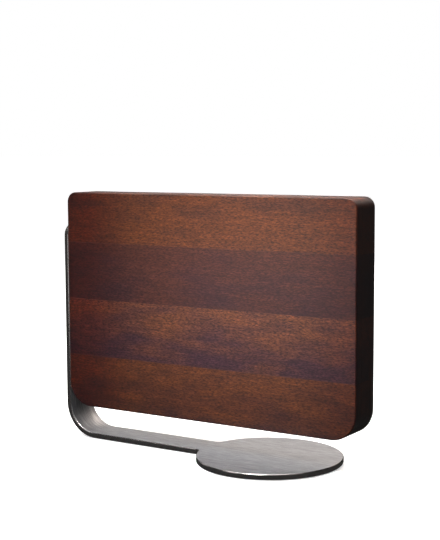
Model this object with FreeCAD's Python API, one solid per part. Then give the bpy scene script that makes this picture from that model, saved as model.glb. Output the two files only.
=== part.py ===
import FreeCAD, Part

import math
import os

from FreeCAD import Vector

# A free-standing knife rack with a magnetic board: a tall wooden board on edge, held up at its left end
# by a stand bent from one steel plate. Rows of magnets sit inside the board, behind a thin skin of wood,
# so blades hold on both faces.
#
# The origin is on the table, under the middle of the whole rack. +X runs along the board, away from the
# upright strap, -Y is the front face's side, and +Z is up. Millimetres.

# The board
BOARD_LENGTH = 350.0
BOARD_HEIGHT = 234.0
BOARD_GAP = 36.0            # from the table up to the board's lower edge
TOP_CORNER_R = 10.5
BOTTOM_CORNER_R = 27.0
EDGE_ROUND_R = 1.5          # the long edges of both faces are sanded round

# The board's layers, from the front: face panel, core, face panel
PANEL_THICKNESS = 12.0
CORE_THICKNESS = 16.0
BOARD_THICKNESS = 2 * PANEL_THICKNESS + CORE_THICKNESS

# Each layer is glued up from four staves. These are their widths, from the bottom.
STAVE_WIDTHS = {"bottom": 57.0, "lower": 61.5, "upper": 61.5, "top": 54.0}

# The magnets
MAGNET_R = 10.0
MAGNET_THICKNESS = 6.0
MAGNET_PITCH = 26.0
MAGNETS_PER_ROW = 12
MAGNET_CHAMFER = 0.4
KEEPER_WIDTH = 22.0
KEEPER_THICKNESS = 3.0
POCKET_CLEARANCE = 0.2      # all round a magnet or a keeper
MAGNET_ROWS = ("upper", "top")

# The stand
PLATE_THICKNESS = 6.0
STRAP_WIDTH = 38.0
STRAP_TOP = 235.0
STRAP_CORNER_R = 12.0
BEND_OUTER_R = 37.0
FOOT_R = 75.0
FOOT_CENTRE_X = 71.5
FOOT_JUNCTION_R = 8.0
PLATE_EDGE_R = 0.8
PAD_THICKNESS = 1.0
PAD_INSET = 5.0

# The fixings, along the upright strap
SCREW_COUNT = 4
LOWEST_SCREW_Z = 75.0
SCREW_PITCH = 49.0
SCREW_R = 3.0
SCREW_LENGTH = 20.0
SCREW_TIP_CHAMFER = 0.8
HEAD_R = 6.2
HEAD_HEIGHT = HEAD_R - SCREW_R     # a 90 degree cone
HEAD_SINK = 0.2                    # how far the head sits below the strap's face
SOCKET_WIDTH = 4.0                 # across the flats of the hexagon
SOCKET_DEPTH = 2.4
SCREW_HOLE_R = 3.3
INSERT_R = 5.0
INSERT_LENGTH = 16.0
INSERT_RIB_COUNT = 4
INSERT_RIB_HEIGHT = 0.5
INSERT_HOLE_R = INSERT_R + 0.1
INSERT_HOLE_DEPTH = 20.0
THREAD_CLEARANCE = 0.05

# Worked out from the sizes above
RACK_LEFT = -(BOARD_LENGTH + PLATE_THICKNESS) / 2
BOARD_LEFT = RACK_LEFT + PLATE_THICKNESS
BOARD_MIDDLE_X = BOARD_LEFT + BOARD_LENGTH / 2
FACE_Y = BOARD_THICKNESS / 2
CORE_Y = CORE_THICKNESS / 2
PLATE_BOTTOM = PAD_THICKNESS
PLATE_TOP = PLATE_BOTTOM + PLATE_THICKNESS

ALONG_X = Vector(1, 0, 0)
ALONG_Y = Vector(0, 1, 0)
ALONG_Z = Vector(0, 0, 1)
TINY = 1e-4


def block(x0, x1, y0, y1, z0, z1):
    """A plain block between two corners."""
    return Part.makeBox(x1 - x0, y1 - y0, z1 - z0, Vector(x0, y0, z0))


def sharp_edges(shape):
    """The edges where two faces meet at more than about 30 degrees."""
    found = []
    for edge in shape.Edges:
        faces = shape.ancestorsOfType(edge, Part.Face)
        if len(faces) != 2:
            continue
        middle = edge.valueAt((edge.FirstParameter + edge.LastParameter) / 2)
        normals = [face.normalAt(*face.Surface.parameter(middle)) for face in faces]
        if normals[0].getAngle(normals[1]) > math.radians(30):
            found.append(edge)
    return found


def edges_along(shape, direction, keep):
    """The straight edges along a direction whose middle point passes the keep test."""
    found = []
    for edge in shape.Edges:
        if not isinstance(edge.Curve, Part.Line):
            continue
        if abs(edge.Curve.Direction.dot(direction)) < 1 - TINY:
            continue
        if keep(edge.CenterOfMass):
            found.append(edge)
    return found


# ---- The board ----

def board_blank():
    """The whole board in one piece, with its corners rounded and its long edges sanded."""
    right = BOARD_LEFT + BOARD_LENGTH
    top = BOARD_GAP + BOARD_HEIGHT
    middle = BOARD_GAP + BOARD_HEIGHT / 2
    blank = block(BOARD_LEFT, right, -FACE_Y, FACE_Y, BOARD_GAP, top)
    blank = blank.makeFillet(TOP_CORNER_R, edges_along(blank, ALONG_Y, lambda p: p.z > middle))
    low_corners = edges_along(blank, ALONG_Y, lambda p: p.z < BOARD_GAP + TINY)
    blank = blank.makeFillet(BOTTOM_CORNER_R, low_corners)
    return blank.makeFillet(EDGE_ROUND_R, sharp_edges(blank))


def stave_heights():
    """The lower and upper height of each stave, by name."""
    heights = {}
    z = BOARD_GAP
    for name, width in STAVE_WIDTHS.items():
        heights[name] = (z, z + width)
        z += width
    return heights


def layer_depths():
    """The front and rear Y of each layer, by name."""
    return {"front": (-FACE_Y, -CORE_Y), "core": (-CORE_Y, CORE_Y), "rear": (CORE_Y, FACE_Y)}


def row_height(row):
    """The height of a row of magnets, in the middle of its stave."""
    low, high = stave_heights()[row]
    return (low + high) / 2


def magnet_places():
    """The X of each magnet in a row."""
    first = BOARD_MIDDLE_X - MAGNET_PITCH * (MAGNETS_PER_ROW - 1) / 2
    return [first + MAGNET_PITCH * i for i in range(MAGNETS_PER_ROW)]


def disc_along_y(radius, x, z, y0, y1):
    """A disc whose axis runs along Y."""
    return Part.makeCylinder(radius, y1 - y0, Vector(x, y0, z), ALONG_Y)


def round_ended_strip(radius, z, y0, y1):
    """A strip along a row of magnets, with round ends centred on the outer magnets."""
    places = magnet_places()
    strip = block(places[0], places[-1], y0, y1, z - radius, z + radius)
    for x in (places[0], places[-1]):
        strip = strip.fuse(disc_along_y(radius, x, z, y0, y1))
    return strip.removeSplitter()


def facing(side, y_near, y_far):
    """Two distances from the board's middle as an ordered pair of Y values on one side."""
    sign = -1 if side == "front" else 1
    return sorted((sign * y_near, sign * y_far))


def magnet_pockets(side, row):
    """The room for one row: a slot for the keeper, and a blind hole beyond it for each magnet."""
    z = row_height(row)
    keeper_y = facing(side, CORE_Y, CORE_Y + KEEPER_THICKNESS)
    hole_y = facing(side, CORE_Y, CORE_Y + KEEPER_THICKNESS + MAGNET_THICKNESS)
    room = round_ended_strip(KEEPER_WIDTH / 2 + POCKET_CLEARANCE, z, *keeper_y)
    holes = [disc_along_y(MAGNET_R + POCKET_CLEARANCE, x, z, *hole_y) for x in magnet_places()]
    return room.fuse(holes)


def stave(blank, side, name):
    """One stave of one layer, with its pockets if a row of magnets lies in it."""
    y0, y1 = layer_depths()[side]
    z0, z1 = stave_heights()[name]
    piece = blank.common(block(RACK_LEFT, -RACK_LEFT, y0, y1, z0, z1))
    if side == "core":
        return piece.cut(insert_holes())
    if name in MAGNET_ROWS:
        return piece.cut(magnet_pockets(side, name))
    return piece


def magnets(side, row):
    """One row of disc magnets."""
    z = row_height(row)
    y0, y1 = facing(side, CORE_Y + KEEPER_THICKNESS, CORE_Y + KEEPER_THICKNESS + MAGNET_THICKNESS)
    discs = []
    for x in magnet_places():
        disc = disc_along_y(MAGNET_R, x, z, y0, y1)
        discs.append(disc.makeChamfer(MAGNET_CHAMFER, sharp_edges(disc)))
    return Part.makeCompound(discs)


def keeper(side, row):
    """The steel strip behind one row of magnets."""
    depths = facing(side, CORE_Y, CORE_Y + KEEPER_THICKNESS)
    return round_ended_strip(KEEPER_WIDTH / 2, row_height(row), *depths)


# ---- The fixings ----

def screw_heights():
    """The height of each screw."""
    return [LOWEST_SCREW_Z + SCREW_PITCH * i for i in range(SCREW_COUNT)]


def cylinder_along_x(radius, x0, x1, z):
    """A cylinder whose axis runs along X, in the rack's middle plane."""
    return Part.makeCylinder(radius, x1 - x0, Vector(x0, 0, z), ALONG_X)


def insert_holes():
    """The blind holes in the core's left end."""
    holes = []
    for z in screw_heights():
        holes.append(cylinder_along_x(INSERT_HOLE_R, BOARD_LEFT, BOARD_LEFT + INSERT_HOLE_DEPTH, z))
    return holes


def threaded_insert(z):
    """A brass insert: a tube with sloping ribs that bite into the wood."""
    bore_r = SCREW_R + THREAD_CLEARANCE
    waist_r = INSERT_R - INSERT_RIB_HEIGHT
    step = INSERT_LENGTH / INSERT_RIB_COUNT
    points = [Vector(0, bore_r, 0), Vector(0, INSERT_R, 0)]
    for i in range(INSERT_RIB_COUNT):
        foot = step * i
        points.append(Vector(foot + step / 4, INSERT_R, 0))
        points.append(Vector(foot + step, waist_r, 0))
        if i < INSERT_RIB_COUNT - 1:
            points.append(Vector(foot + step, INSERT_R, 0))
    points.append(Vector(INSERT_LENGTH, bore_r, 0))
    points.append(points[0])
    outline = Part.Face(Part.makePolygon(points))
    body = outline.revolve(Vector(0, 0, 0), ALONG_X, 360)
    return body.translated(Vector(BOARD_LEFT, 0, z))


def hex_prism(x0, depth, z):
    """A six-sided bar along X, for the key's socket."""
    corner_r = SOCKET_WIDTH / math.sqrt(3)
    points = []
    for i in range(7):
        turn = math.radians(60 * i)
        points.append(Vector(x0, corner_r * math.cos(turn), z + corner_r * math.sin(turn)))
    return Part.Face(Part.makePolygon(points)).extrude(Vector(depth, 0, 0))


def countersunk_screw(z):
    """A countersunk screw with a hexagon socket, its head towards -X."""
    face_x = RACK_LEFT + HEAD_SINK
    head = Part.makeCone(HEAD_R, SCREW_R, HEAD_HEIGHT, Vector(face_x, 0, z), ALONG_X)
    tip_x = face_x + SCREW_LENGTH - SCREW_TIP_CHAMFER
    shank = cylinder_along_x(SCREW_R, face_x, tip_x, z)
    tip_r = SCREW_R - SCREW_TIP_CHAMFER
    tip = Part.makeCone(SCREW_R, tip_r, SCREW_TIP_CHAMFER, Vector(tip_x, 0, z), ALONG_X)
    screw = head.fuse([shank, tip]).removeSplitter()
    return screw.cut(hex_prism(face_x, SOCKET_DEPTH, z))


# ---- The stand ----

def bent_strap():
    """The strap: up the board's end, round the bend and along the table to the foot's middle."""
    outer_x = RACK_LEFT
    inner_x = RACK_LEFT + PLATE_THICKNESS
    bend_x = RACK_LEFT + BEND_OUTER_R
    bend_z = PLATE_BOTTOM + BEND_OUTER_R
    inner_r = BEND_OUTER_R - PLATE_THICKNESS
    slope = math.sqrt(0.5)

    def at(x, z):
        return Vector(x, -STRAP_WIDTH / 2, z)

    outer_bend = Part.Arc(
        at(outer_x, bend_z),
        at(bend_x - slope * BEND_OUTER_R, bend_z - slope * BEND_OUTER_R),
        at(bend_x, PLATE_BOTTOM),
    )
    inner_bend = Part.Arc(
        at(bend_x, PLATE_TOP),
        at(bend_x - slope * inner_r, bend_z - slope * inner_r),
        at(inner_x, bend_z),
    )
    wire = Part.Wire([
        Part.LineSegment(at(outer_x, STRAP_TOP), at(outer_x, bend_z)).toShape(),
        outer_bend.toShape(),
        Part.LineSegment(at(bend_x, PLATE_BOTTOM), at(FOOT_CENTRE_X, PLATE_BOTTOM)).toShape(),
        Part.LineSegment(at(FOOT_CENTRE_X, PLATE_BOTTOM), at(FOOT_CENTRE_X, PLATE_TOP)).toShape(),
        Part.LineSegment(at(FOOT_CENTRE_X, PLATE_TOP), at(bend_x, PLATE_TOP)).toShape(),
        inner_bend.toShape(),
        Part.LineSegment(at(inner_x, bend_z), at(inner_x, STRAP_TOP)).toShape(),
        Part.LineSegment(at(inner_x, STRAP_TOP), at(outer_x, STRAP_TOP)).toShape(),
    ])
    return Part.Face(wire).extrude(Vector(0, STRAP_WIDTH, 0))


def countersunk_holes():
    """The holes for the screws, opened out to a 90 degree cone at the strap's outer face."""
    mouth_r = HEAD_R + HEAD_SINK
    holes = []
    for z in screw_heights():
        hole = cylinder_along_x(SCREW_HOLE_R, RACK_LEFT, BOARD_LEFT, z)
        depth = mouth_r - SCREW_HOLE_R
        mouth = Part.makeCone(mouth_r, SCREW_HOLE_R, depth, Vector(RACK_LEFT, 0, z), ALONG_X)
        holes.append(hole.fuse(mouth))
    return holes


def stand():
    """The strap and the round foot, cut and bent from one plate."""
    foot = Part.makeCylinder(FOOT_R, PLATE_THICKNESS, Vector(FOOT_CENTRE_X, 0, PLATE_BOTTOM))
    plate = bent_strap().fuse(foot).removeSplitter()
    junctions = edges_along(plate, ALONG_Z, lambda p: p.z < PLATE_TOP and p.x > -FOOT_R)
    plate = plate.makeFillet(FOOT_JUNCTION_R, junctions)
    top_corners = edges_along(plate, ALONG_X, lambda p: p.z > STRAP_TOP - TINY)
    plate = plate.makeFillet(STRAP_CORNER_R, top_corners)
    plate = plate.makeFillet(PLATE_EDGE_R, sharp_edges(plate))
    return plate.cut(countersunk_holes())


def foot_pad():
    """The thin anti-slip disc under the foot."""
    return Part.makeCylinder(FOOT_R - PAD_INSET, PAD_THICKNESS, Vector(FOOT_CENTRE_X, 0, 0))


def strap_pad():
    """The thin anti-slip strip under the strap, from the bend to the foot."""
    half = STRAP_WIDTH / 2 - PAD_INSET
    x0 = RACK_LEFT + BEND_OUTER_R + PAD_INSET
    x1 = FOOT_CENTRE_X - FOOT_R - PAD_INSET
    strip = block(x0, x1, -half, half, 0, PAD_THICKNESS)
    return strip.makeFillet(PAD_INSET, edges_along(strip, ALONG_Z, lambda p: True))


# ---- Writing the files ----

def save(name, shape):
    """Writes one sub-part to its file and prints what it is."""
    shape.exportStep(os.path.join("parts", name + ".step"))
    state = "valid" if shape.isValid() else "NOT VALID"
    print(f"{name}: {len(shape.Solids)} solid(s), {shape.Volume / 1000:.2f} cm3, {state}")


os.makedirs("parts", exist_ok=True)
whole_board = board_blank()
for layer in layer_depths():
    for width_name in STAVE_WIDTHS:
        save(f"{layer}_{width_name}_stave", stave(whole_board, layer, width_name))
for face in ("front", "rear"):
    for magnet_row in MAGNET_ROWS:
        save(f"{face}_{magnet_row}_magnets", magnets(face, magnet_row))
        save(f"{face}_{magnet_row}_keeper", keeper(face, magnet_row))
save("threaded_inserts", Part.makeCompound([threaded_insert(z) for z in screw_heights()]))
save("countersunk_screws", Part.makeCompound([countersunk_screw(z) for z in screw_heights()]))
save("stand", stand())
save("foot_pad", foot_pad())
save("strap_pad", strap_pad())
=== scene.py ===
# %% [markdown]
# # A magnetic knife rack on a bent steel stand
# The rack is a tall wooden board on edge, glued up from dark heat-treated beech, with rows of magnets hidden
# behind a thin skin of wood. One steel plate holds it up: a strap runs up the board's left end, round a
# bend, along the table and into a round foot.
# A CAD model already fixes every size and place. This lesson loads it, and gives each visible part the
# rounded edges, smooth bends and finishes that the eye looks for.

# %% Load the CAD model
import math

import bmesh
import bpy
from mathutils import Matrix, Vector


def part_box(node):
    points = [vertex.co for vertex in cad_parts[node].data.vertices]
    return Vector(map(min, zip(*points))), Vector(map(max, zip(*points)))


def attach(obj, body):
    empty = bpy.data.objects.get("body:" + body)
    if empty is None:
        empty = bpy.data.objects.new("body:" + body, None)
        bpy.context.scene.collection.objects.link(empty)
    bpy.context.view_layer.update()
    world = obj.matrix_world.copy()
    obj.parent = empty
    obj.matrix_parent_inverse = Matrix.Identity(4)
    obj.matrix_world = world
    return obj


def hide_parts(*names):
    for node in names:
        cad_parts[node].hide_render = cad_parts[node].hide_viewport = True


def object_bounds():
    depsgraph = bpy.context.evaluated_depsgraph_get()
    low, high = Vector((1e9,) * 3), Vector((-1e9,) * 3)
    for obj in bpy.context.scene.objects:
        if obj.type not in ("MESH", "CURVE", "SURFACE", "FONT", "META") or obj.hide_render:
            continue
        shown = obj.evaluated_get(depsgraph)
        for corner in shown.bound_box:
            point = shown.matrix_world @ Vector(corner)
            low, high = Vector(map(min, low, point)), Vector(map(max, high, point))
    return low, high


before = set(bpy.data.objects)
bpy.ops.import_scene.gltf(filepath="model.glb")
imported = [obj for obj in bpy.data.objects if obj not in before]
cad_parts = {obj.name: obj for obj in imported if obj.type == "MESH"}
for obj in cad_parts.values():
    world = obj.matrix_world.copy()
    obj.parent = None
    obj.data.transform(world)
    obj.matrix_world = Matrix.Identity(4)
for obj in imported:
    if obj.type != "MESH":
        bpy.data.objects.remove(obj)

cad_low, cad_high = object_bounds()
cad_size = [round(1000 * side, 1) for side in cad_high - cad_low]
print("CAD nodes:", len(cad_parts), "size in mm:", cad_size)

# %% [markdown]
# ## Sizes
# Blender works in metres and the rack was designed in millimetres, so one small function turns one into the
# other. Places are read from the CAD nodes. Radii can't be read from a box, so they are named here.

# %% Sizes
def mm(length):
    """Millimetres as metres."""
    return length / 1000


STAVES = ("bottom", "lower", "upper", "top")
LAYERS = ("front", "core", "rear")
MAGNET_ROWS = ("upper", "top")

board_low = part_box("front_bottom_stave")[0]
board_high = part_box("rear_top_stave")[1]
TOP_CORNER_R = mm(10.5)
BOTTOM_CORNER_R = mm(27)
EDGE_ROUND_R = mm(1.5)
GLUE_LINE_DEPTH = mm(0.12)

stand_low, stand_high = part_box("stand")
PLATE_THICKNESS = board_low.x - stand_low.x
STRAP_WIDTH = mm(38)
STRAP_CORNER_R = mm(12)
BEND_OUTER_R = mm(37)
FOOT_R = (stand_high.y - stand_low.y) / 2
JUNCTION_R = mm(8)
PLATE_EDGE_R = mm(1.3)
BEND_X = stand_low.x + BEND_OUTER_R
BEND_Z = stand_low.z + BEND_OUTER_R
FOOT_X = stand_high.x - FOOT_R
print("board", board_high - board_low, "foot radius", round(FOOT_R, 4), "at x", round(FOOT_X, 4))

# %% [markdown]
# ## A few tools for working by hand in code
# An operator acts on whatever is selected. Loading the CAD model leaves its nodes selected, so everything is
# deselected before each new shape is added. In edit mode, `pick` selects faces or edges by their place, as a
# modeller would by clicking them.

# %% Selecting and editing
SAME_PLACE = mm(0.01)
PARALLEL = 0.999          # the cosine of a very small angle
SHARP_TURN = math.radians(30)


def deselect_all():
    """Leaves nothing selected and nothing active."""
    for thing in bpy.context.selected_objects:
        thing.select_set(False)
    bpy.context.view_layer.objects.active = None


def make_active(piece):
    """Selects one object and makes it the active one."""
    deselect_all()
    piece.select_set(True)
    bpy.context.view_layer.objects.active = piece


def edit(piece):
    """Opens one object in edit mode."""
    make_active(piece)
    bpy.ops.object.mode_set(mode="EDIT")


def stop_editing():
    """Goes back to object mode."""
    bpy.ops.object.mode_set(mode="OBJECT")


def pick(piece, kind, test):
    """In edit mode, selects the edges or faces that pass the test, and returns how many there are."""
    bpy.ops.mesh.select_mode(type=kind)
    bpy.ops.mesh.select_all(action="DESELECT")
    mesh = bmesh.from_edit_mesh(piece.data)
    elements = mesh.edges if kind == "EDGE" else mesh.faces
    chosen = [element for element in elements if test(element)]
    for element in chosen:
        element.select_set(True)
    mesh.select_flush_mode()
    bmesh.update_edit_mesh(piece.data)
    return len(chosen)


def round_edges(radius, segments):
    """Bevels the selected edges."""
    bpy.ops.mesh.bevel(offset=radius, segments=segments, affect="EDGES", clamp_overlap=False)


def near(a, b):
    """True if two lengths are the same to a hundredth of a millimetre."""
    return abs(a - b) < SAME_PLACE


def runs_along(edge, axis):
    """True if an edge is parallel to axis 0, 1 or 2."""
    step = edge.verts[1].co - edge.verts[0].co
    return abs(step.normalized()[axis]) > PARALLEL


def is_sharp(edge):
    """True if the faces beside an edge turn by more than 30 degrees."""
    return len(edge.link_faces) == 2 and edge.calc_face_angle() > SHARP_TURN


def start_piece(name):
    """Names the primitive that was just added, and moves its place into its mesh."""
    piece = bpy.context.object
    piece.name = name
    piece.data.name = name
    bpy.ops.object.transform_apply(location=True, rotation=True, scale=True)
    return piece


# %% [markdown]
# A modifier is applied as soon as it is added, so each finished piece is a plain mesh. A Boolean leaves
# double points along its cut, so they are merged.

# %% Copying, cutting and smoothing
DOUBLES_GAP = mm(0.002)
SMOOTH_TURN = math.radians(35)
FLAT_FACE_WEIGHT = 50


def copy_of(piece, name):
    """A copy with its own mesh."""
    twin = piece.copy()
    twin.data = piece.data.copy()
    twin.name = name
    twin.data.name = name
    bpy.context.scene.collection.objects.link(twin)
    return twin


def apply_modifier(piece, kind, **settings):
    """Adds one modifier, sets it up and applies it."""
    make_active(piece)
    modifier = piece.modifiers.new(kind.lower(), kind)
    for key, value in settings.items():
        setattr(modifier, key, value)
    bpy.ops.object.modifier_apply(modifier=modifier.name)


def cut_away(piece, cutter):
    """Cuts one shape out of another, throws the cutter away and merges the points it left double."""
    apply_modifier(piece, "BOOLEAN", operation="DIFFERENCE", object=cutter, solver="EXACT")
    bpy.data.objects.remove(cutter)
    edit(piece)
    bpy.ops.mesh.select_mode(type="VERT")
    bpy.ops.mesh.select_all(action="SELECT")
    bpy.ops.mesh.remove_doubles(threshold=DOUBLES_GAP)
    stop_editing()


def smooth(piece):
    """Smooth shading on rounded edges, with the wide flat faces kept flat by their area."""
    make_active(piece)
    bpy.ops.object.shade_smooth_by_angle(angle=SMOOTH_TURN)
    apply_modifier(piece, "WEIGHTED_NORMAL", mode="FACE_AREA", weight=FLAT_FACE_WEIGHT, keep_sharp=True)


# %% [markdown]
# ## The board
# The real board is glued up first and shaped afterwards, so its corners and sanded edges run on from stave
# to stave. The same order works here: one block is rounded as a whole and then sliced into its layers and
# staves, so that every joint line meets exactly.

# %% The board in one piece
CORNER_SEGMENTS = 16
EDGE_SEGMENTS = 4


def board_blank():
    """The whole board, with its corners rounded and the edges of both faces sanded round."""
    deselect_all()
    middle = (board_low + board_high) / 2
    bpy.ops.mesh.primitive_cube_add(size=1, location=middle, scale=board_high - board_low)
    blank = start_piece("board_blank")
    edit(blank)
    pick(blank, "EDGE", lambda e: runs_along(e, 1) and near(e.verts[0].co.z, board_high.z))
    round_edges(TOP_CORNER_R, CORNER_SEGMENTS)
    pick(blank, "EDGE", lambda e: runs_along(e, 1) and near(e.verts[0].co.z, board_low.z))
    round_edges(BOTTOM_CORNER_R, CORNER_SEGMENTS)
    rims = pick(blank, "EDGE", is_sharp)
    round_edges(EDGE_ROUND_R, EDGE_SEGMENTS)
    stop_editing()
    print("board blank:", rims, "rim edges rounded,", len(blank.data.polygons), "faces")
    return blank


blank = board_blank()

# %% [markdown]
# ## Slicing the staves
# Bisect is the saw: it cuts along a plane, throws one side away and closes the cut. Two to four cuts give a
# stave. A hair's breadth of chamfer round each cut makes the glue line that a fingernail can feel.

# %% Slice the board
def saw(piece, point, direction):
    """Cuts through a point and keeps the side that the direction points away from."""
    edit(piece)
    bpy.ops.mesh.select_mode(type="FACE")
    bpy.ops.mesh.select_all(action="SELECT")
    bpy.ops.mesh.bisect(plane_co=point, plane_no=direction, use_fill=True, clear_outer=True)
    stop_editing()


def slice_stave(layer, width):
    """One stave of one layer, cut out of a copy of the board."""
    node = f"{layer}_{width}_stave"
    low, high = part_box(node)
    stave = copy_of(blank, "board_" + node)
    for axis, sides in ((1, LAYERS), (2, STAVES)):
        name = layer if axis == 1 else width
        direction = Vector((0, 0, 0))
        direction[axis] = 1
        if name != sides[-1]:
            saw(stave, high, direction)
        if name != sides[0]:
            saw(stave, low, -direction)
    edit(stave)
    pick(stave, "EDGE", is_sharp)
    round_edges(GLUE_LINE_DEPTH, 1)
    stop_editing()
    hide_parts(node)
    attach(stave, "root")
    return stave


staves = {(layer, width): slice_stave(layer, width) for layer in LAYERS for width in STAVES}
bpy.data.objects.remove(blank)
print("staves:", len(staves))

# %% [markdown]
# ## Pockets for the magnets, holes for the inserts
# The face panels are milled from behind: a slot for each steel keeper, and a blind hole beyond it for each
# magnet, which stops 3 mm short of the knives. The core's left end is drilled for the threaded inserts. None
# of this shows from outside, but a stave taken on its own should be the real stave.

# %% Mill and drill
POCKET_CLEARANCE = mm(0.2)
HOLE_CLEARANCE = mm(0.1)
INSERT_HOLE_DEPTH = mm(20)
OVERRUN = mm(0.5)
MAGNETS_PER_ROW = 12
SCREW_COUNT = 4
ROUND_SIDES = 48


def round_cutter(name, radius, start, end):
    """A cylinder between two points, for cutting a hole."""
    deselect_all()
    way = end - start
    bpy.ops.mesh.primitive_cylinder_add(
        vertices=ROUND_SIDES, radius=radius, depth=way.length, location=(start + end) / 2,
        rotation=way.to_track_quat("Z", "Y").to_euler())
    return start_piece(name)


def joined(cutters):
    """Several cutters as one object."""
    make_active(cutters[0])
    for cutter in cutters:
        cutter.select_set(True)
    bpy.ops.object.join()
    return cutters[0]


def places_between(first, last, count):
    """Evenly spaced places from the first to the last."""
    return [first + (last - first) * i / (count - 1) for i in range(count)]


def mill_pockets(side, row):
    """Cuts the keeper's slot and the magnets' holes into one panel stave."""
    keeper_low, keeper_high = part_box(f"{side}_{row}_keeper")
    magnet_low, magnet_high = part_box(f"{side}_{row}_magnets")
    stave = staves[side, row]
    z = (keeper_low.z + keeper_high.z) / 2
    into = -1 if side == "front" else 1
    mouth = (keeper_high.y if side == "front" else keeper_low.y) - into * OVERRUN
    slot_floor = keeper_low.y if side == "front" else keeper_high.y
    hole_floor = magnet_low.y if side == "front" else magnet_high.y
    keeper_r = (keeper_high.z - keeper_low.z) / 2
    magnet_r = (magnet_high.z - magnet_low.z) / 2
    ends = (keeper_low.x + keeper_r, keeper_high.x - keeper_r)
    deselect_all()
    slot_r = keeper_r + POCKET_CLEARANCE
    middle = Vector((sum(ends) / 2, (mouth + slot_floor) / 2, z))
    size = (ends[1] - ends[0], abs(mouth - slot_floor), 2 * slot_r)
    bpy.ops.mesh.primitive_cube_add(size=1, location=middle, scale=size)
    cut_away(stave, start_piece("slot_middle"))
    rounds = [
        round_cutter("slot_end", slot_r, Vector((x, mouth, z)), Vector((x, slot_floor, z))) for x in ends
    ]
    cut_away(stave, joined(rounds))
    holes = []
    for x in places_between(*ends, MAGNETS_PER_ROW):
        start = Vector((x, mouth, z))
        end = Vector((x, hole_floor, z))
        holes.append(round_cutter("magnet_hole", magnet_r + POCKET_CLEARANCE, start, end))
    cut_away(stave, joined(holes))


insert_low, insert_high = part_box("threaded_inserts")
INSERT_R = (insert_high.y - insert_low.y) / 2
screw_heights = places_between(insert_low.z + INSERT_R, insert_high.z - INSERT_R, SCREW_COUNT)

for side in ("front", "rear"):
    for row in MAGNET_ROWS:
        mill_pockets(side, row)
for width, height in zip(STAVES, screw_heights):
    start = Vector((board_low.x - OVERRUN, 0, height))
    end = Vector((board_low.x + INSERT_HOLE_DEPTH, 0, height))
    drill = round_cutter("insert_hole", INSERT_R + HOLE_CLEARANCE, start, end)
    cut_away(staves["core", width], drill)
for stave in staves.values():
    smooth(stave)
print("screw heights in mm:", [round(1000 * z, 1) for z in screw_heights])

# %% [markdown]
# ## The stand
# The real stand is cut from flat plate and then bent, and it is drawn the same way here. The outline starts
# as one point, straight stretches are extruded, and round ones are spun about their centres. The filled
# outline is raised to the plate's thickness, the strap's end is spun up through the bend, and the upright
# follows.

# %% Draw the flat outline
FOOT_SEGMENTS = 96
JUNCTION_SEGMENTS = 8
ARC_UP = (0, 0, 1)

junction_x = FOOT_X - math.sqrt((FOOT_R + JUNCTION_R) ** 2 - (STRAP_WIDTH / 2 + JUNCTION_R) ** 2)
junction_y = STRAP_WIDTH / 2 + JUNCTION_R
junction_turn = math.atan2(FOOT_X - junction_x, junction_y)
foot_turn = math.pi + 2 * junction_turn


def draw_line(step):
    """Extrudes what is selected, the outline's last point or a whole face, along a straight line."""
    bpy.ops.mesh.extrude_region_move(TRANSFORM_OT_translate={"value": step})


def draw_arc(centre, turn, steps):
    """Spins the outline's last point about a centre, anticlockwise if the turn is positive.

    The spin operator itself counts clockwise as positive, so the turn changes sign.
    """
    bpy.ops.mesh.spin(steps=steps, angle=-turn, center=centre, axis=ARC_UP, use_auto_merge=False)


def draw_flat_plate():
    """The strap's flat stretch and the foot as one outline, raised to the plate's thickness."""
    deselect_all()
    bpy.ops.mesh.primitive_plane_add(size=mm(1), location=(BEND_X, -STRAP_WIDTH / 2, stand_low.z))
    plate = start_piece("bent_stand")
    edit(plate)
    bpy.ops.mesh.select_mode(type="VERT")
    bpy.ops.mesh.select_all(action="SELECT")
    bpy.ops.mesh.merge(type="CENTER")
    draw_line((junction_x - BEND_X, 0, 0))
    draw_arc((junction_x, -junction_y, stand_low.z), -junction_turn, JUNCTION_SEGMENTS)
    draw_arc((FOOT_X, 0, stand_low.z), foot_turn, FOOT_SEGMENTS)
    draw_arc((junction_x, junction_y, stand_low.z), -junction_turn, JUNCTION_SEGMENTS)
    draw_line((BEND_X - junction_x, 0, 0))
    bpy.ops.mesh.select_all(action="SELECT")
    bpy.ops.mesh.edge_face_add()
    draw_line((0, 0, PLATE_THICKNESS))
    bpy.ops.mesh.select_all(action="SELECT")
    bpy.ops.mesh.normals_make_consistent(inside=False)
    stop_editing()
    print("flat plate:", len(plate.data.vertices), "vertices")
    return plate


# %% [markdown]
# The strap's end face is spun through a quarter turn about the bend's own axis, then drawn straight up. Its
# top corners are rounded, and last of all every sharp edge gets the small radius that a deburring wheel
# leaves, which is what catches the light along the rim.

# %% Bend the strap
BEND_AXIS = (0, 1, 0)
BEND_SEGMENTS = 32
STRAP_CORNER_SEGMENTS = 12
PLATE_EDGE_SEGMENTS = 3


def on_strap_end(face):
    """True for the cut end of the flat strap."""
    return all(near(vert.co.x, BEND_X) for vert in face.verts)


def bend_up(plate):
    """Spins the strap's end up through the bend, and draws the upright from it."""
    edit(plate)
    pick(plate, "FACE", on_strap_end)
    bpy.ops.mesh.spin(
        steps=BEND_SEGMENTS, angle=-math.pi / 2, center=(BEND_X, 0, BEND_Z), axis=BEND_AXIS,
        use_auto_merge=False)
    draw_line((0, 0, stand_high.z - BEND_Z))
    pick(plate, "EDGE", lambda e: runs_along(e, 0) and near(e.verts[0].co.z, stand_high.z))
    round_edges(STRAP_CORNER_R, STRAP_CORNER_SEGMENTS)
    rims = pick(plate, "EDGE", is_sharp)
    round_edges(PLATE_EDGE_R, PLATE_EDGE_SEGMENTS)
    stop_editing()
    print("stand:", rims, "rim edges rounded,", len(plate.data.polygons), "faces")


stand = draw_flat_plate()
bend_up(stand)

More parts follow.
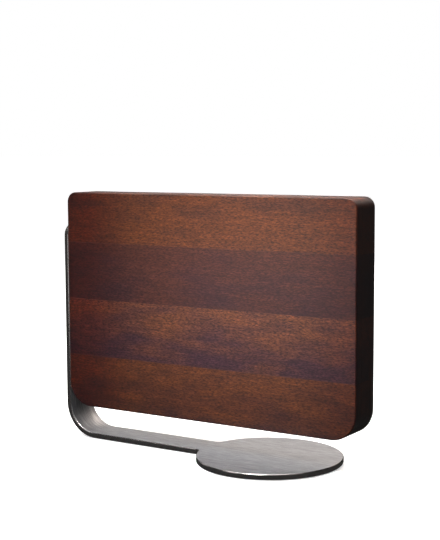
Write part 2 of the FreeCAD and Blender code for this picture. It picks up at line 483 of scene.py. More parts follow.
# %% [markdown]
# The screw holes are drilled through the upright and opened out to a cone, so that the screw heads lie
# flush. The cutter is a turned bar: a circle that is extruded and scaled step by step. Brushing follows
# the metal round the bend, so each vertex also gets its place on the flat plate: how far along, how far
# across, and how deep. The finish reads that place and not the bent one.

# %% Drill the strap and note each point's place on the flat plate
screws_low, screws_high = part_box("countersunk_screws")
HEAD_R = (screws_high.y - screws_low.y) / 2
HEAD_SINK = screws_low.x - stand_low.x
SCREW_R = mm(3)
SCREW_HOLE_R = mm(3.3)
PLATE_PLACE = "plate_place"
BRUSHING_UV = "brushing"


def turned_bar(name, x, z, radius, stretches, sides=ROUND_SIDES):
    """A bar along X, drawn from a circle: each stretch is its length and the radius that it ends with."""
    deselect_all()
    bpy.ops.mesh.primitive_circle_add(
        vertices=sides, radius=radius, fill_type="NGON", location=(x, 0, z),
        rotation=(0, math.pi / 2, 0))
    bar = start_piece(name)
    edit(bar)
    bpy.ops.mesh.select_all(action="SELECT")
    for length, next_radius in stretches:
        x += length
        draw_line((length, 0, 0))
        ratio = next_radius / radius
        bpy.ops.transform.resize(value=(1, ratio, ratio), center_override=(x, 0, z))
        radius = next_radius
    bpy.ops.mesh.select_all(action="SELECT")
    bpy.ops.mesh.normals_make_consistent(inside=False)
    stop_editing()
    return bar


def countersink_cutter(z):
    """A hole through the strap with a 90 degree cone at its outer face."""
    mouth_r = HEAD_R + HEAD_SINK + OVERRUN
    cone = mouth_r - SCREW_HOLE_R
    bore = PLATE_THICKNESS + 2 * OVERRUN - cone
    stretches = ((cone, SCREW_HOLE_R), (bore, SCREW_HOLE_R))
    return turned_bar("screw_hole", stand_low.x - OVERRUN, z, mouth_r, stretches)


def place_on_plate(point):
    """Where a point of the bent stand lies on the flat plate: along it, across it and into it."""
    middle_r = BEND_OUTER_R - PLATE_THICKNESS / 2
    if point.x >= BEND_X:
        return (point.x - BEND_X, point.y, point.z - stand_low.z)
    bend_length = middle_r * math.pi / 2
    if point.z >= BEND_Z:
        return (-bend_length - (point.z - BEND_Z), point.y, point.x - stand_low.x)
    across = BEND_X - point.x
    down = BEND_Z - point.z
    return (-middle_r * math.atan2(across, down), point.y, BEND_OUTER_R - math.hypot(across, down))


def note_plate_places(plate):
    """Stores each vertex's place on the flat plate, and as a UV map for the brushing's direction."""
    mesh = plate.data
    places = mesh.attributes.new(PLATE_PLACE, "FLOAT_VECTOR", "POINT")
    for vertex in mesh.vertices:
        places.data[vertex.index].vector = place_on_plate(vertex.co)
    uv = mesh.uv_layers.new(name=BRUSHING_UV)
    for loop in mesh.loops:
        along, across, depth = places.data[loop.vertex_index].vector
        uv.data[loop.index].uv = (along, across + depth)


cut_away(stand, joined([countersink_cutter(height) for height in screw_heights]))
note_plate_places(stand)
smooth(stand)
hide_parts("stand")
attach(stand, "root")
print("stand with its screw holes:", len(stand.data.polygons), "faces")

# %% [markdown]
# ## The screws
# Four countersunk screws with hexagon sockets hold the board. One is modelled: a circle is extruded and
# scaled into the head's rim, the cone, the shank and the tip, and a pointed six-sided bar cuts the socket.
# The other three are copies.

# %% Model one screw and copy it
SCREW_LENGTH = screws_high.x - screws_low.x
SOCKET_SIDES = 6
SOCKET_R = mm(4) / math.sqrt(3)        # from corner to centre, for a 4 mm key
SOCKET_DEPTH = mm(2.4)
BROACH_POINT = mm(0.8)
BROACH_POINT_R = SOCKET_R / 8
TIP_CHAMFER = mm(0.8)
SCREW_EDGE_R = mm(0.06)
SCREW_PLACE = "screw_place"


def model_screw(z):
    """One screw, its head towards -X."""
    widest_r = HEAD_R - SCREW_EDGE_R
    cone = widest_r - SCREW_R
    shank = SCREW_LENGTH - SCREW_EDGE_R - cone - TIP_CHAMFER
    stretches = (
        (SCREW_EDGE_R, widest_r),
        (cone, SCREW_R),
        (shank, SCREW_R),
        (TIP_CHAMFER, SCREW_R - TIP_CHAMFER),
    )
    screw = turned_bar("countersunk_screw_1", screws_low.x, z, widest_r - SCREW_EDGE_R, stretches)
    stretches = ((OVERRUN + SOCKET_DEPTH, SOCKET_R), (BROACH_POINT, BROACH_POINT_R))
    broach = turned_bar("socket", screws_low.x - OVERRUN, z, SOCKET_R, stretches, SOCKET_SIDES)
    cut_away(screw, broach)
    return screw


def note_screw_places(screw, z):
    """Stores each vertex's place from the screw's own axis, for the lathe's marks."""
    places = screw.data.attributes.new(SCREW_PLACE, "FLOAT_VECTOR", "POINT")
    for vertex in screw.data.vertices:
        places.data[vertex.index].vector = vertex.co - Vector((screws_low.x, 0, z))


first_screw = model_screw(screw_heights[0])
note_screw_places(first_screw, screw_heights[0])
smooth(first_screw)
screws = [first_screw]
for number, height in enumerate(screw_heights[1:], start=2):
    twin = copy_of(first_screw, f"countersunk_screw_{number}")
    twin.data.transform(Matrix.Translation((0, 0, height - screw_heights[0])))
    screws.append(twin)
for screw in screws:
    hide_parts("countersunk_screws")
    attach(screw, "root")
print("screws:", len(screws), "with", len(first_screw.data.polygons), "faces each")

# %% [markdown]
# ## The pads
# Two thin rubber pads keep the steel off the table. Each is a plain shape with a rounded rim, and its
# underside is recessed a little inside a lip, as a moulded pad's is, so that it grips round its edge.

# %% Model the pads
PAD_RIM_R = mm(0.3)
PAD_RIM_SEGMENTS = 2
PAD_LIP = mm(3)
PAD_RECESS = mm(0.3)
FOOT_PAD_SIDES = 96
STRAP_PAD_CORNER_R = mm(5)
STRAP_PAD_CORNER_SEGMENTS = 8


def finish_pad(pad, node, low):
    """Rounds a pad's rims, recesses its underside and stands it in for its CAD node."""
    edit(pad)
    pick(pad, "EDGE", is_sharp)
    round_edges(PAD_RIM_R, PAD_RIM_SEGMENTS)
    pick(pad, "FACE", lambda f: f.normal.z < -PARALLEL and near(f.calc_center_median().z, low.z))
    bpy.ops.mesh.inset(thickness=PAD_LIP)
    bpy.ops.mesh.inset(thickness=PAD_RECESS)
    bpy.ops.transform.translate(value=(0, 0, PAD_RECESS))
    stop_editing()
    smooth(pad)
    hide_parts(node)
    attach(pad, "root")
    return pad


def foot_pad():
    """The round pad under the foot."""
    low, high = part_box("foot_pad")
    deselect_all()
    bpy.ops.mesh.primitive_cylinder_add(
        vertices=FOOT_PAD_SIDES, radius=(high.y - low.y) / 2, depth=high.z - low.z,
        location=(low + high) / 2)
    return finish_pad(start_piece("round_foot_pad"), "foot_pad", low)


def strap_pad():
    """The long pad under the strap."""
    low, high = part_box("strap_pad")
    deselect_all()
    bpy.ops.mesh.primitive_cube_add(size=1, location=(low + high) / 2, scale=high - low)
    pad = start_piece("long_strap_pad")
    edit(pad)
    pick(pad, "EDGE", lambda e: runs_along(e, 2))
    round_edges(STRAP_PAD_CORNER_R, STRAP_PAD_CORNER_SEGMENTS)
    stop_editing()
    return finish_pad(pad, "strap_pad", low)


pads = [foot_pad(), strap_pad()]
print("pads:", [pad.name for pad in pads])

# %% [markdown]
# ## Tools for materials
# Colours are picked as sRGB hex values, as on a colour chart, but a shader works with linear light, so one
# function turns them. Patterns read Object coordinates in millimetres, so a number in a pattern is a real
# size.

# %% Colours and nodes
MIX_A, MIX_B, MIX_RESULT = 6, 7, 2     # the colour sockets of a Mix node
NOISE_LIMITS = (0.3, 0.7)              # most of a noise lies between these
MM_PER_METRE = 1000
NODE_SPACING = 200


def linear(hex_colour):
    """An sRGB hex colour as linear red, green, blue and alpha."""
    channels = [int(hex_colour[i:i + 2], 16) / 255 for i in (1, 3, 5)]
    return tuple(c / 12.92 if c <= 0.04045 else ((c + 0.055) / 1.055) ** 2.4 for c in channels) + (1,)


def add_node(tree, kind, inputs=None, **settings):
    """Adds a shader node with its settings, and sets or links each input by name or number."""
    node = tree.nodes.new("ShaderNode" + kind)
    node.location = (NODE_SPACING * len(tree.nodes), 0)
    for name, value in settings.items():
        setattr(node, name, value)
    for name, value in (inputs or {}).items():
        socket = node.inputs[name]
        if isinstance(value, bpy.types.NodeSocket):
            tree.links.new(value, socket)
        else:
            socket.default_value = value
    return node


def new_material(name):
    """An empty node material, and its node tree."""
    material = bpy.data.materials.new(name)
    material.use_nodes = True
    material.node_tree.nodes.clear()
    return material, material.node_tree


def finish_material(tree, inputs):
    """Adds the main shader with its inputs, and the output."""
    shader = add_node(tree, "BsdfPrincipled", inputs)
    add_node(tree, "OutputMaterial", {"Surface": shader.outputs["BSDF"]})


def give(piece, *materials):
    """Gives a piece its materials in place of what it had."""
    piece.data.materials.clear()
    for material in materials:
        piece.data.materials.append(material)


# %% [markdown]
# ## Heat-treated beech
# Beech is close-grained and pale. Baked without air at about 200 degrees it turns a dark reddish brown all
# the way through, and a coat of oil deepens that and leaves a low sheen. The eye finds a dense peppering of
# tiny dark flecks, which is what marks beech, over soft straight growth rings. The wood is more purple near
# the heart of the tree and warmer outside, so each stave drifts from one edge to the other and every seam is
# a step in tone. Towards both ends the board is painted darker and redder, a painted shade, as if less light
# reached them. The pattern is solid, so the ends show the same rings cut across, and darkest of all.

# %% The grain of the wood
RING_WIDTH = 2.6          # mm between growth rings
RING_WANDER = 5           # mm, how far a ring strays
FIBRES = {"size": (18, 0.9, 0.9), "detail": 3, "roughness": 0.65}    # finer in real wood, and drawn
FLECKS = {"size": (3.6, 1.1, 0.9), "detail": 2, "roughness": 0.7}    # so coarse in order to show
MOTTLE = {"size": (11, 7, 4.5), "detail": 2, "roughness": 0.6}       # the ripple of the grain
CLOUDS = {"size": (60, 20, 14), "detail": 2, "roughness": 0.55}      # slow change along a stave


def grain_noise(tree, place, size, detail, roughness):
    """Soft noise whose blobs have a size in mm along, into and up the board."""
    scaled = add_node(tree, "VectorMath", {
        0: place, 1: tuple(1 / length for length in size)}, operation="MULTIPLY")
    noise = add_node(tree, "TexNoise", {
        "Vector": scaled.outputs[0], "Scale": 1, "Detail": detail, "Roughness": roughness})
    return noise.outputs["Fac"]


def ring_radius(tree, place, clouds, pith):
    """Distance in mm from the pith of the log, which wanders with the clouds."""
    across = add_node(tree, "VectorMath", {
        0: place, 1: (0, 1, 1), 2: (0, -pith[0], -pith[1])}, operation="MULTIPLY_ADD")
    radius = add_node(tree, "VectorMath", {0: across.outputs[0]}, operation="LENGTH")
    wandering = add_node(tree, "Math", {
        0: clouds, 1: RING_WANDER, 2: radius.outputs["Value"]}, operation="MULTIPLY_ADD")
    return wandering.outputs[0]


def growth_rings(tree, radius):
    """Rings a few millimetres apart, as noise along the radius."""
    count = add_node(tree, "Math", {0: radius, 1: RING_WIDTH}, operation="DIVIDE")
    rings = add_node(tree, "TexNoise", {
        "W": count.outputs[0], "Scale": 1, "Detail": 2, "Roughness": 0.6}, noise_dimensions="1D")
    return rings.outputs["Fac"]


# %% [markdown]
# The colour is built up in steps: the drift from heart to outside, then rings, fibres and mottle that only
# lighten and darken it, then flecks, which also change its hue, and last two tints: painted shade that
# darkens and reddens the board towards its ends, and the end grain's darker tone.

# %% The colour of the wood
AGE_DRIFT = 0.5           # how far the clouds shift the colour between heart and outside
RING_DEPTH = 0.13
FIBRE_DEPTH = 0.4
MOTTLE_DEPTH = 0.13
EVENLY = (1, 1, 1)
FLECK_LIMITS = (0.36, 0.64)            # closer together, for crisper edges
FLECK_DARKENING = (1.0, 1.0, 0.8)      # red, green, blue: a dark fleck is a little purple
FLECK_LIGHTENING = (1.0, 1.15, 0.8)    # and the wood between flecks is a little orange
# painted shade: the board turns darker and redder towards its ends, as if less light reached them
ENDS_PAINTED_SHADE_TINT = (0.72, 0.4, 0.46, 1)
STRAP_END = (-142, -88)   # mm along the board: full painted shade up to here, and fading out to here
FREE_END = (125, 178)     # mm: fading in from here to the very end
FREE_END_SHADE_SHARE = 0.5       # the free end gets half as much painted shade as the strap end
END_GRAIN_TINT = (0.42, 0.38, 0.38, 1)
END_GRAIN_FACING = (0.55, 0.85)        # from side grain to end grain, by how far a face turns to the end


def heart_to_outside(tree, radius, clouds, heart, outside, reach):
    """The drift of colour from the heart of the log, at the first reach in mm, to the outside."""
    distance = add_node(tree, "MapRange", {
        "Value": radius, "From Min": reach[0], "From Max": reach[1]})
    drift = add_node(tree, "MapRange", {
        "Value": clouds, "From Min": NOISE_LIMITS[0], "From Max": NOISE_LIMITS[1],
        "To Min": -AGE_DRIFT, "To Max": AGE_DRIFT})
    age = add_node(tree, "Math", {
        0: distance.outputs["Result"], 1: drift.outputs["Result"]}, operation="ADD", use_clamp=True)
    tone = add_node(tree, "Mix", {
        "Factor": age.outputs[0], MIX_A: linear(heart), MIX_B: linear(outside)}, data_type="RGBA")
    return tone.outputs[MIX_RESULT]


def shaded(tree, tone, pattern, depth, limits=NOISE_LIMITS, darkening=EVENLY, lightening=EVENLY):
    """A tone that a pattern darkens and lightens, by a depth times each colour's own strength."""
    dark_tint = [1 - depth * strength for strength in darkening]
    pale_tint = [1 + depth * strength for strength in lightening]
    level = add_node(tree, "MapRange", {
        "Value": pattern, "From Min": limits[0], "From Max": limits[1]})
    tint = add_node(tree, "Mix", {
        "Factor": level.outputs["Result"], MIX_A: (*dark_tint, 1), MIX_B: (*pale_tint, 1)},
        data_type="RGBA")
    product = add_node(tree, "Mix", {
        "Factor": 1.0, MIX_A: tone, MIX_B: tint.outputs[MIX_RESULT]},
        data_type="RGBA", blend_type="MULTIPLY")
    return product.outputs[MIX_RESULT]


def tinted(tree, tone, tint, amount):
    """A tone that takes on a tint where the amount is high."""
    product = add_node(tree, "Mix", {
        "Factor": 1.0, MIX_A: tone, MIX_B: tint}, data_type="RGBA", blend_type="MULTIPLY")
    mix = add_node(tree, "Mix", {
        "Factor": amount, MIX_A: tone, MIX_B: product.outputs[MIX_RESULT]}, data_type="RGBA")
    return mix.outputs[MIX_RESULT]


def painted_end_shade(tree, along):
    """How much painted shade the board gets, by the place along it: full at the strap end, half at the free
    end.
    """
    strap_end = add_node(tree, "MapRange", {
        "Value": along, "From Min": mm(STRAP_END[0]), "From Max": mm(STRAP_END[1]),
        "To Min": 1, "To Max": 0})
    free_end = add_node(tree, "MapRange", {
        "Value": along, "From Min": mm(FREE_END[0]), "From Max": mm(FREE_END[1]),
        "To Max": FREE_END_SHADE_SHARE})
    shade_amount = add_node(tree, "Math", {
        0: strap_end.outputs["Result"], 1: free_end.outputs["Result"]}, operation="ADD")
    return shade_amount.outputs[0]


def facing(tree, normal, axis, limits):
    """How far a face turns towards an axis, either way along it: 0 to 1 between two limits."""
    parts = add_node(tree, "SeparateXYZ", {"Vector": normal})
    towards = add_node(tree, "Math", {0: parts.outputs[axis]}, operation="ABSOLUTE")
    level = add_node(tree, "MapRange", {
        "Value": towards.outputs[0], "From Min": limits[0], "From Max": limits[1]})
    return level.outputs["Result"]


# %% [markdown]
# The sheen is low and satin, and a little glossier in the flecks, which hold more oil and are also fine
# hollows. The long narrow faces at the top and bottom are less polished, so they are more matt.

# %% Material: heat-treated beech, oiled
WOOD_IOR = 1.5            # an oil film's
SHEEN_ROUGHNESS = 0.37
FLECK_GLOSS = (-0.05, 0.08)            # roughness added inside a fleck, and between flecks
NARROW_FACE_ROUGHNESS = 0.35           # how much more matt the long narrow faces are
NARROW_FACING = (0.4, 0.85)
PORE_DEPTH = mm(0.08)
PORE_STRENGTH = 0.6


def oiled_beech(name, heart, outside, shift, pith, reach, fleck_depth):
    """Oiled heat-treated beech. Its shift along the log, its pith and its colours' reach are in mm."""
    material, tree = new_material(name)
    coordinates = add_node(tree, "TexCoord")
    place = add_node(tree, "Mapping", {
        "Vector": coordinates.outputs["Object"], "Scale": [MM_PER_METRE] * 3, "Location": shift}).outputs[0]
    normal = coordinates.outputs["Normal"]
    flecks = grain_noise(tree, place, **FLECKS)
    clouds = grain_noise(tree, place, **CLOUDS)
    radius = ring_radius(tree, place, clouds, pith)
    colour = heart_to_outside(tree, radius, clouds, heart, outside, reach)
    colour = shaded(tree, colour, growth_rings(tree, radius), RING_DEPTH)
    colour = shaded(tree, colour, grain_noise(tree, place, **FIBRES), FIBRE_DEPTH)
    colour = shaded(tree, colour, grain_noise(tree, place, **MOTTLE), MOTTLE_DEPTH)
    colour = shaded(tree, colour, flecks, fleck_depth, FLECK_LIMITS, FLECK_DARKENING, FLECK_LIGHTENING)
    along = add_node(tree, "SeparateXYZ", {"Vector": coordinates.outputs["Object"]}).outputs["X"]
    # painted shade: darker and redder towards both ends of the board
    colour = tinted(tree, colour, ENDS_PAINTED_SHADE_TINT, painted_end_shade(tree, along))
    colour = tinted(tree, colour, END_GRAIN_TINT, facing(tree, normal, "X", END_GRAIN_FACING))
    sheen = add_node(tree, "MapRange", {
        "Value": flecks, "From Min": NOISE_LIMITS[0], "From Max": NOISE_LIMITS[1],
        "To Min": SHEEN_ROUGHNESS + FLECK_GLOSS[0], "To Max": SHEEN_ROUGHNESS + FLECK_GLOSS[1]})
    roughness = add_node(tree, "Math", {
        0: facing(tree, normal, "Z", NARROW_FACING), 1: NARROW_FACE_ROUGHNESS,
        2: sheen.outputs["Result"]}, operation="MULTIPLY_ADD")
    bump = add_node(tree, "Bump", {
        "Strength": PORE_STRENGTH, "Distance": PORE_DEPTH, "Height": flecks})
    finish_material(tree, {
        "Base Color": colour, "Roughness": roughness.outputs[0], "IOR": WOOD_IOR,
        "Normal": bump.outputs["Normal"]})
    return material


# %% [markdown]
# Each width of stave comes from its own log, so it has its own colours, place in the log and strength of
# fleck. Its front, core and rear staves come from different stretches of that log.

# %% Give the staves their wood
HEARTS = {"top": "#301917", "upper": "#2C151A", "lower": "#301921", "bottom": "#2D1514"}
OUTSIDES = {"top": "#4E2613", "upper": "#3C1C16", "lower": "#552D1C", "bottom": "#4C2614"}
PITHS = {"top": (60, 300), "upper": (95, 120), "lower": (-40, 40), "bottom": (30, -40)}
REACHES = {"top": (45, 105), "upper": (95, 150), "lower": (60, 125), "bottom": (70, 150)}
FLECK_DEPTHS = {"top": 0.75, "upper": 0.7, "lower": 0.85, "bottom": 0.8}
LOG_SHIFT = {"front": 0, "core": 900, "rear": 1800}
WIDTH_SHIFT = 370

for (layer, width), stave in staves.items():
    shift = (LOG_SHIFT[layer] + WIDTH_SHIFT * STAVES.index(width), 0, 0)
    wood = oiled_beech(
        f"oiled_beech_{layer}_{width}", HEARTS[width], OUTSIDES[width], shift, PITHS[width],
        REACHES[width], FLECK_DEPTHS[width])
    give(stave, wood)
print("wood materials:", len(staves))

# %% [markdown]
# ## Brushed stainless steel
# The plate was brushed lengthways before it was bent. Each brush line is a shallow scratch, so light smears
# across the lines: the steel looks soft and grey instead of mirror-like, and a highlight on the bend
# becomes a broad streak. The rim was cut by a laser, which leaves it darker, with fine lines through its
# thickness.

# %% Material: brushed stainless steel
BRUSH_LENGTH = 16         # mm
BRUSH_WIDTH = 0.7         # mm: a real line is about 0.1, and is drawn this coarse so that it shows
BRUSH_LOW, BRUSH_HIGH = 0.32, 0.68
BRUSH_DARK = "#808083"
BRUSH_PALE = "#BEBEC1"
BRUSH_DEPTH = mm(0.04)
BRUSH_STRENGTH = 0.7
BRUSHED_ROUGHNESS = 0.46
PATCH_SIZE = 35           # mm, the slow change where the belt pressed harder
PATCH_ROUGHNESS = 0.14
BRUSHED_ANISOTROPY = 0.2


def plate_coordinates(tree, size):
    """Each point's place on the flat plate, divided by a size in mm along, across and into it."""
    place = add_node(tree, "Attribute", attribute_name=PLATE_PLACE)
    return add_node(tree, "VectorMath", {
        0: place.outputs["Vector"], 1: tuple(MM_PER_METRE / length for length in size)},
        operation="MULTIPLY").outputs[0]


def brushed_steel():
    """The plate's broad faces."""
    material, tree = new_material("brushed_stainless_steel")
    lines = add_node(tree, "TexNoise", {
        "Vector": plate_coordinates(tree, (BRUSH_LENGTH, BRUSH_WIDTH, BRUSH_WIDTH)),
        "Scale": 1, "Detail": 4, "Roughness": 0.7})
    patches = add_node(tree, "TexNoise", {
        "Vector": plate_coordinates(tree, (2 * PATCH_SIZE, PATCH_SIZE, PATCH_SIZE)),
        "Scale": 1, "Detail": 2})
    level = add_node(tree, "MapRange", {
        "Value": lines.outputs["Fac"], "From Min": BRUSH_LOW, "From Max": BRUSH_HIGH})
    colour = add_node(tree, "Mix", {
        "Factor": level.outputs["Result"], MIX_A: linear(BRUSH_DARK), MIX_B: linear(BRUSH_PALE)},
        data_type="RGBA")
    roughness = add_node(tree, "Math", {
        0: patches.outputs["Fac"], 1: PATCH_ROUGHNESS, 2: BRUSHED_ROUGHNESS},
        operation="MULTIPLY_ADD")
    tangent = add_node(tree, "Tangent", direction_type="UV_MAP", uv_map=BRUSHING_UV)
    bump = add_node(tree, "Bump", {
        "Strength": BRUSH_STRENGTH, "Distance": BRUSH_DEPTH, "Height": lines.outputs["Fac"]})
    finish_material(tree, {
        "Base Color": colour.outputs[MIX_RESULT], "Metallic": 1, "Roughness": roughness.outputs[0],
        "Anisotropic": BRUSHED_ANISOTROPY, "Tangent": tangent.outputs["Tangent"],
        "Normal": bump.outputs["Normal"]})
    return material


# %% Material: the laser-cut rim
CUT_LINE_SIZE = (0.6, 0.6, 20)         # mm: fine along the rim, and long through the plate
CUT_DARK = "#96908D"
CUT_PALE = "#AFAAA8"
CUT_ROUGHNESS = 0.22
CUT_DEPTH = mm(0.03)
CUT_STRENGTH = 0.3


def cut_edge_steel():
    """The plate's rim, as the laser left it."""
    material, tree = new_material("laser_cut_steel_edge")
    lines = add_node(tree, "TexNoise", {
        "Vector": plate_coordinates(tree, CUT_LINE_SIZE), "Scale": 1, "Detail": 2})
    colour = add_node(tree, "Mix", {
        "Factor": lines.outputs["Fac"], MIX_A: linear(CUT_DARK), MIX_B: linear(CUT_PALE)},
        data_type="RGBA")
    bump = add_node(tree, "Bump", {
        "Strength": CUT_STRENGTH, "Distance": CUT_DEPTH, "Height": lines.outputs["Fac"]})
    finish_material(tree, {
        "Base Color": colour.outputs[MIX_RESULT], "Metallic": 1, "Roughness": CUT_ROUGHNESS,
        "Normal": bump.outputs["Normal"]})
    return material


# %% [markdown]
# One piece wears both steels. A small step inwards from a broad face goes deeper into the plate, and from
# a rim face it doesn't, which tells them apart.

# %% Give the stand its steel
PROBE = mm(0.1)
RIM_FACING = 0.75


def is_rim(face, plate):
    """True if a face is part of the plate's cut rim."""
    places = plate.data.attributes[PLATE_PLACE].data
    depths = [places[index].vector.z for index in face.vertices]
    centre = place_on_plate(face.center)
    inside = place_on_plate(face.center - face.normal * PROBE)
    return abs(inside[2] - centre[2]) < PROBE * RIM_FACING and max(depths) > min(depths)


give(stand, brushed_steel(), cut_edge_steel())
rim_faces = [face for face in stand.data.polygons if is_rim(face, stand)]
for face in rim_faces:
    face.material_index = 1
print("rim faces:", len(rim_faces))

# %% [markdown]
# ## Screws and pads
# The screws are turned from bright stainless bar, so their heads show faint rings round the axis. The pads
# are black rubber, whose matt skin scatters light evenly and has a fine pebble grain from its mould.

# %% Materials: turned stainless steel, black rubber
TURNED_COLOUR = "#C9C7C4"
TURNED_ROUGHNESS = (0.2, 0.36)
TURNING_PITCH = 0.35      # mm between the lathe's marks
TURNING_DEPTH = mm(0.02)
TURNING_STRENGTH = 0.3
RUBBER_DARK = "#1E1E1F"
RUBBER_PALE = "#2B2B2C"
RUBBER_ROUGHNESS = 0.75
PEBBLE = 0.9              # mm
PEBBLE_DEPTH = mm(0.05)
PEBBLE_STRENGTH = 0.4


def turned_steel():
    """Bright turned stainless steel, with rings about the screw's own axis."""
    material, tree = new_material("turned_stainless_steel")
    place = add_node(tree, "Attribute", attribute_name=SCREW_PLACE)
    across = add_node(tree, "VectorMath", {
        0: place.outputs["Vector"], 1: (0, MM_PER_METRE, MM_PER_METRE)}, operation="MULTIPLY")
    radius = add_node(tree, "VectorMath", {0: across.outputs[0]}, operation="LENGTH")
    count = add_node(tree, "Math", {
        0: radius.outputs["Value"], 1: TURNING_PITCH}, operation="DIVIDE")
    rings = add_node(tree, "TexNoise", {
        "W": count.outputs[0], "Scale": 1, "Detail": 2}, noise_dimensions="1D")
    roughness = add_node(tree, "MapRange", {
        "Value": rings.outputs["Fac"], "To Min": TURNED_ROUGHNESS[0], "To Max": TURNED_ROUGHNESS[1]})
    bump = add_node(tree, "Bump", {
        "Strength": TURNING_STRENGTH, "Distance": TURNING_DEPTH, "Height": rings.outputs["Fac"]})
    finish_material(tree, {
        "Base Color": linear(TURNED_COLOUR), "Metallic": 1, "Roughness": roughness.outputs["Result"],
        "Normal": bump.outputs["Normal"]})
    return material


def black_rubber():
    """Matt black rubber with a fine pebble grain."""
    material, tree = new_material("black_rubber")
    coordinates = add_node(tree, "TexCoord")
    pebbles = add_node(tree, "TexVoronoi", {
        "Vector": coordinates.outputs["Object"], "Scale": MM_PER_METRE / PEBBLE})
    colour = add_node(tree, "Mix", {
        "Factor": pebbles.outputs["Distance"], MIX_A: linear(RUBBER_DARK), MIX_B: linear(RUBBER_PALE)},
        data_type="RGBA")
    bump = add_node(tree, "Bump", {
        "Strength": PEBBLE_STRENGTH, "Distance": PEBBLE_DEPTH, "Height": pebbles.outputs["Distance"]})
    finish_material(tree, {
        "Base Color": colour.outputs[MIX_RESULT], "Roughness": RUBBER_ROUGHNESS,
        "Normal": bump.outputs["Normal"]})
    return material


bright_steel = turned_steel()
for screw in screws:
    give(screw, bright_steel)
rubber = black_rubber()
for pad in pads:
    give(pad, rubber)

# %% [markdown]
# ## The parts inside
# Magnets, keepers and inserts are closed in by the wood. Their CAD shapes are right as they are, so they
# only get their real metals, for a reader who takes the rack apart.

# %% Materials: nickel plate, rolled mild steel, brass
SPOT_LOW, SPOT_HIGH = 0.35, 0.65


def worn_metal(name, base, stained, spots, smoothest, roughest):
    """A plain metal whose colour and roughness drift in soft spots of a size in mm."""
    material, tree = new_material(name)
    coordinates = add_node(tree, "TexCoord")
    noise = add_node(tree, "TexNoise", {
        "Vector": coordinates.outputs["Object"], "Scale": MM_PER_METRE / spots, "Detail": 4})
    level = add_node(tree, "MapRange", {
        "Value": noise.outputs["Fac"], "From Min": SPOT_LOW, "From Max": SPOT_HIGH})
    colour = add_node(tree, "Mix", {
        "Factor": level.outputs["Result"], MIX_A: linear(base), MIX_B: linear(stained)}, data_type="RGBA")
    roughness = add_node(tree, "MapRange", {
        "Value": noise.outputs["Fac"], "To Min": smoothest, "To Max": roughest})
    finish_material(tree, {
        "Base Color": colour.outputs[MIX_RESULT], "Metallic": 1, "Roughness": roughness.outputs["Result"]})
    return material


inner_metals = {
    "magnets": worn_metal(
        "nickel_plate", "#CFC9BD", "#B9B3A6", spots=6, smoothest=0.14, roughest=0.26),
    "keeper": worn_metal(
        "rolled_mild_steel", "#77777A", "#5E5C5D", spots=14, smoothest=0.4, roughest=0.6),
    "inserts": worn_metal(
        "turned_brass", "#C9A55A", "#B18E49", spots=4, smoothest=0.22, roughest=0.36),
}
for name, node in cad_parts.items():
    for ending, metal in inner_metals.items():
        if name.endswith(ending):
            give(node, metal)
            print(name, "in", metal.name)

# %% [markdown]
# ## Floor, light and camera
# A pale floor runs out under the rack and turns to plain white away from it, like a lit studio sweep. It is
# kept out of bounced and mirrored light, as dark cards laid round the rack would do, so the rim of the plate
# reads dark against it.

# %% The floor
WHITE = "#FFFFFF"
FLOOR_SIZE = 60           # metres
FLOOR_COLOUR = "#F4F4F4"
FLOOR_ROUGHNESS = 0.9
GLOW_SHAPE = (0.55, 1, 1)              # distance along the rack counts for a little over half
GLOW_START = 0.075        # metres in front of the middle: up to here the glow is at its least
LEAST_GLOW = 0.42
GLOW_FULL = 0.11          # metres: from here on the floor glows plain white


def pale_floor():
    """Pale matt paint that glows more away from the rack."""
    material, tree = new_material("pale_floor")
    coordinates = add_node(tree, "TexCoord")
    shrunk = add_node(tree, "VectorMath", {
        0: coordinates.outputs["Object"], 1: GLOW_SHAPE}, operation="MULTIPLY")
    distance = add_node(tree, "VectorMath", {0: shrunk.outputs["Vector"]}, operation="LENGTH")
    glow = add_node(tree, "MapRange", {
        "Value": distance.outputs["Value"], "From Min": GLOW_START, "From Max": GLOW_FULL,
        "To Min": LEAST_GLOW})
    finish_material(tree, {
        "Base Color": linear(FLOOR_COLOUR), "Roughness": FLOOR_ROUGHNESS,
        "Emission Color": linear(WHITE), "Emission Strength": glow.outputs["Result"]})
    return material


deselect_all()
bpy.ops.mesh.primitive_plane_add(size=FLOOR_SIZE)
floor = start_piece("floor")
give(floor, pale_floor())
floor.visible_diffuse = False
floor.visible_glossy = False
floor.visible_shadow = False

# %% [markdown]
# Every light is a softbox, a rectangle that gives soft edges to shadows and highlights. The largest hangs
# overhead. Two small ones in front lift the wood, two weak ones stand farther out, and two behind, on the
# left and high up, streak the bend and the foot. One at the left lights the upright strap, and a small one
# lifts the back of the board. The board's free end gets little of any, and stays dark.

# %% The lights
BOARD_MIDDLE = (0, 0, 0.15)
WARM_WHITE = (1, 0.96, 0.935)
WARM = (1, 0.9, 0.82)
VERY_WARM = (1, 0.86, 0.74)


def softbox(name, place, aim, size, power, spread=180, colour=(1, 1, 1)):
    """A rectangular area light that points at a place, in metres, watts and degrees."""
    deselect_all()
    bpy.ops.object.light_add(type="AREA", location=place)
    lamp = bpy.context.object
    lamp.name = name
    lamp.data.shape = "RECTANGLE"
    lamp.data.size, lamp.data.size_y = size
    lamp.data.energy = power
    lamp.data.spread = math.radians(spread)
    lamp.data.color = colour
    lamp.visible_camera = False
    lamp.rotation_euler = (Vector(aim) - Vector(place)).to_track_quat("-Z", "Y").to_euler()
    return lamp


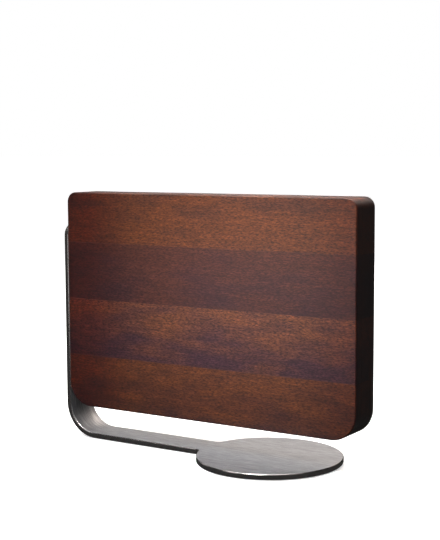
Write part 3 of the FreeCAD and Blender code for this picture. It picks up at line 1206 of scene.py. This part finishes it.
lights = [
    softbox("overhead", (0, -0.35, 1.5), (0, -0.05, 0.1), size=(2.2, 1.6), power=30),
    softbox("front_spot", (0.07, -0.5, 0.8), (0.042, -0.02, 0.16), (0.25, 0.2), power=1.02, spread=37),
    softbox("front_low", (-0.24, -0.62, 0.13), (0.05, -0.02, 0.16), (0.26, 0.2), power=0.38),
    softbox("front_left", (-1.03, -2.22, 0.45), BOARD_MIDDLE, (1.2, 1.2), power=0.5),
    softbox("front_right", (2.28, -0.95, 0.45), BOARD_MIDDLE, (1.2, 1.2), power=1.4),
    softbox("back_left", (-1.09, 1.68, 0.6), BOARD_MIDDLE, (1.5, 1), power=5.6, colour=WARM_WHITE),
    softbox("back_high", (-0.05, 1.3, 1.1), BOARD_MIDDLE, (1.1, 1.1), power=6.2, colour=WARM),
    softbox(
        "back_spot", (0.15, 0.55, 0.95), (-0.03, 0.02, 0.19), (0.25, 0.2), power=0.22, spread=34,
        colour=VERY_WARM),
    softbox("left_side", (-1.3, 0.15, 0.5), (-0.18, 0, 0.15), (0.6, 0.8), power=2.5),
]
print("lights:", [light.name for light in lights])

# %% The studio round it
STUDIO_GLOW = 0.06


def studio():
    """A dim room, with plain white behind everything."""
    world = bpy.data.worlds.new("studio")
    world.use_nodes = True
    tree = world.node_tree
    tree.nodes.clear()
    room = add_node(tree, "Background", {"Color": linear(WHITE), "Strength": STUDIO_GLOW})
    backdrop = add_node(tree, "Background", {"Color": linear(WHITE), "Strength": 1})
    path = add_node(tree, "LightPath")
    seen = add_node(tree, "MixShader", {
        0: path.outputs["Is Camera Ray"], 1: room.outputs["Background"], 2: backdrop.outputs["Background"]})
    add_node(tree, "OutputWorld", {"Surface": seen.outputs["Shader"]})
    return world


bpy.context.scene.world = studio()

# %% The camera
CAMERA_PLACE = (0.6858, -1.0432, 0.3183)
CAMERA_TURN = 32.83       # degrees to the left of straight ahead
CAMERA_TILT = -5.79       # degrees above the horizon
CAMERA_ROLL = -0.29       # degrees
LENS = 81.1               # mm
SENSOR = 36               # mm, along the picture's long side

deselect_all()
bpy.ops.object.camera_add(location=CAMERA_PLACE)
camera = bpy.context.object
camera.data.lens = LENS
camera.data.sensor_width = SENSOR
turn = Matrix.Rotation(math.radians(CAMERA_TURN), 4, "Z")
tilt = Matrix.Rotation(math.radians(90 + CAMERA_TILT), 4, "X")
roll = Matrix.Rotation(math.radians(CAMERA_ROLL), 4, "Z")
camera.rotation_euler = (turn @ tilt @ roll).to_euler()
bpy.context.scene.camera = camera
bpy.context.scene.view_settings.view_transform = "Standard"
